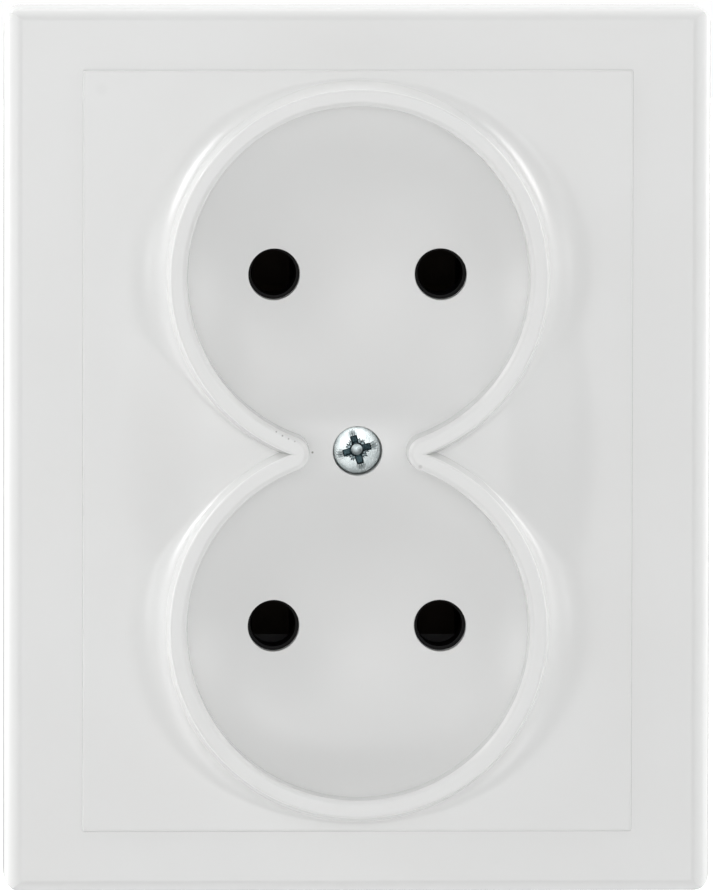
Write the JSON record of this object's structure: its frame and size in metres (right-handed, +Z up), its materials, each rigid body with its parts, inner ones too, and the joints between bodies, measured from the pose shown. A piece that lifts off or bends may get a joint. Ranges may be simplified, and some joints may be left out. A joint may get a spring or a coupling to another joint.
{
  "type": "double wall socket",
  "caption": "White double wall socket without earth: square-edged frame, centre plate with two round wells joined at a waist, claw-fixed insulating mechanism behind.",
  "frame": {"origin": "on the wall surface, midway between the two box screws and between the two wells", "axes": "+X to the right as seen from the room, +Y into the wall, +Z up; the front faces -Y"},
  "size_m": [0.0804, 0.0309, 0.101],
  "materials": {
    "white_plastic": "glossy moulded white thermoset",
    "black_plastic": "moulded black insulating plastic",
    "zinc_screw": "blue-passivated zinc plating",
    "zinc_steel": "pressed zinc-plated sheet",
    "spring_steel": "bare spring steel",
    "brass": "bare brass",
    "bronze": "bare phosphor bronze"
  },
  "bodies": {
    "socket_body": {"outer_frame": "white_plastic", "cover_plate": "white_plastic", "cover_screw": "zinc_screw", "cover_nut": "zinc_steel", "front_insulator": "black_plastic", "rear_housing": "black_plastic", "mounting_bridge": "zinc_steel", "upper_housing_screw": "zinc_screw", "lower_housing_screw": "zinc_screw", "left_bus_bar": "brass", "left_claw_pin": "spring_steel", "upper_left_contact": "bronze", "upper_left_contact_clip": "spring_steel", "upper_left_terminal_block": "brass", "lower_left_contact": "bronze", "lower_left_contact_clip": "spring_steel", "lower_left_terminal_block": "brass", "right_bus_bar": "brass", "right_claw_pin": "spring_steel", "upper_right_contact": "bronze", "upper_right_contact_clip": "spring_steel", "upper_right_terminal_block": "brass", "lower_right_contact": "bronze", "lower_right_contact_clip": "spring_steel", "lower_right_terminal_block": "brass"},
    "left_claw": {"left_claw": "zinc_steel"},
    "right_claw": {"right_claw": "zinc_steel"},
    "left_claw_screw": {"left_claw_screw": "zinc_screw"},
    "right_claw_screw": {"right_claw_screw": "zinc_screw"},
    "upper_left_terminal_screw": {"upper_left_terminal_screw": "zinc_screw"},
    "lower_left_terminal_screw": {"lower_left_terminal_screw": "zinc_screw"},
    "upper_right_terminal_screw": {"upper_right_terminal_screw": "zinc_screw"},
    "lower_right_terminal_screw": {"lower_right_terminal_screw": "zinc_screw"}
  },
  "joints": [
    {"name": "left_claw_screw_drive", "type": "slide", "parent": "socket_body", "child": "left_claw_screw", "axis": [0, 1, 0], "range_m": [0, 0.0019]},
    {"name": "left_claw_swing", "type": "hinge", "parent": "socket_body", "child": "left_claw", "pos_m": [-0.0229, 0.0034, 0], "axis": [0, 0, 1], "range_deg": [0, 25]},
    {"name": "upper_left_terminal_drive", "type": "slide", "parent": "socket_body", "child": "upper_left_terminal_screw", "axis": [-1, 0, 0], "range_m": [0, 0.003]},
    {"name": "lower_left_terminal_drive", "type": "slide", "parent": "socket_body", "child": "lower_left_terminal_screw", "axis": [-1, 0, 0], "range_m": [0, 0.003]},
    {"name": "right_claw_screw_drive", "type": "slide", "parent": "socket_body", "child": "right_claw_screw", "axis": [0, 1, 0], "range_m": [0, 0.0019]},
    {"name": "right_claw_swing", "type": "hinge", "parent": "socket_body", "child": "right_claw", "pos_m": [0.0229, 0.0034, 0], "axis": [0, 0, -1], "range_deg": [0, 25]},
    {"name": "upper_right_terminal_drive", "type": "slide", "parent": "socket_body", "child": "upper_right_terminal_screw", "axis": [1, 0, 0], "range_m": [0, 0.003]},
    {"name": "lower_right_terminal_drive", "type": "slide", "parent": "socket_body", "child": "lower_right_terminal_screw", "axis": [1, 0, 0], "range_m": [0, 0.003]}
  ],
  "couplings": [
    {"joint": "left_claw_swing", "follows": "left_claw_screw_drive", "rad_per_m": 229.6},
    {"joint": "right_claw_swing", "follows": "right_claw_screw_drive", "rad_per_m": 229.6}
  ]
}
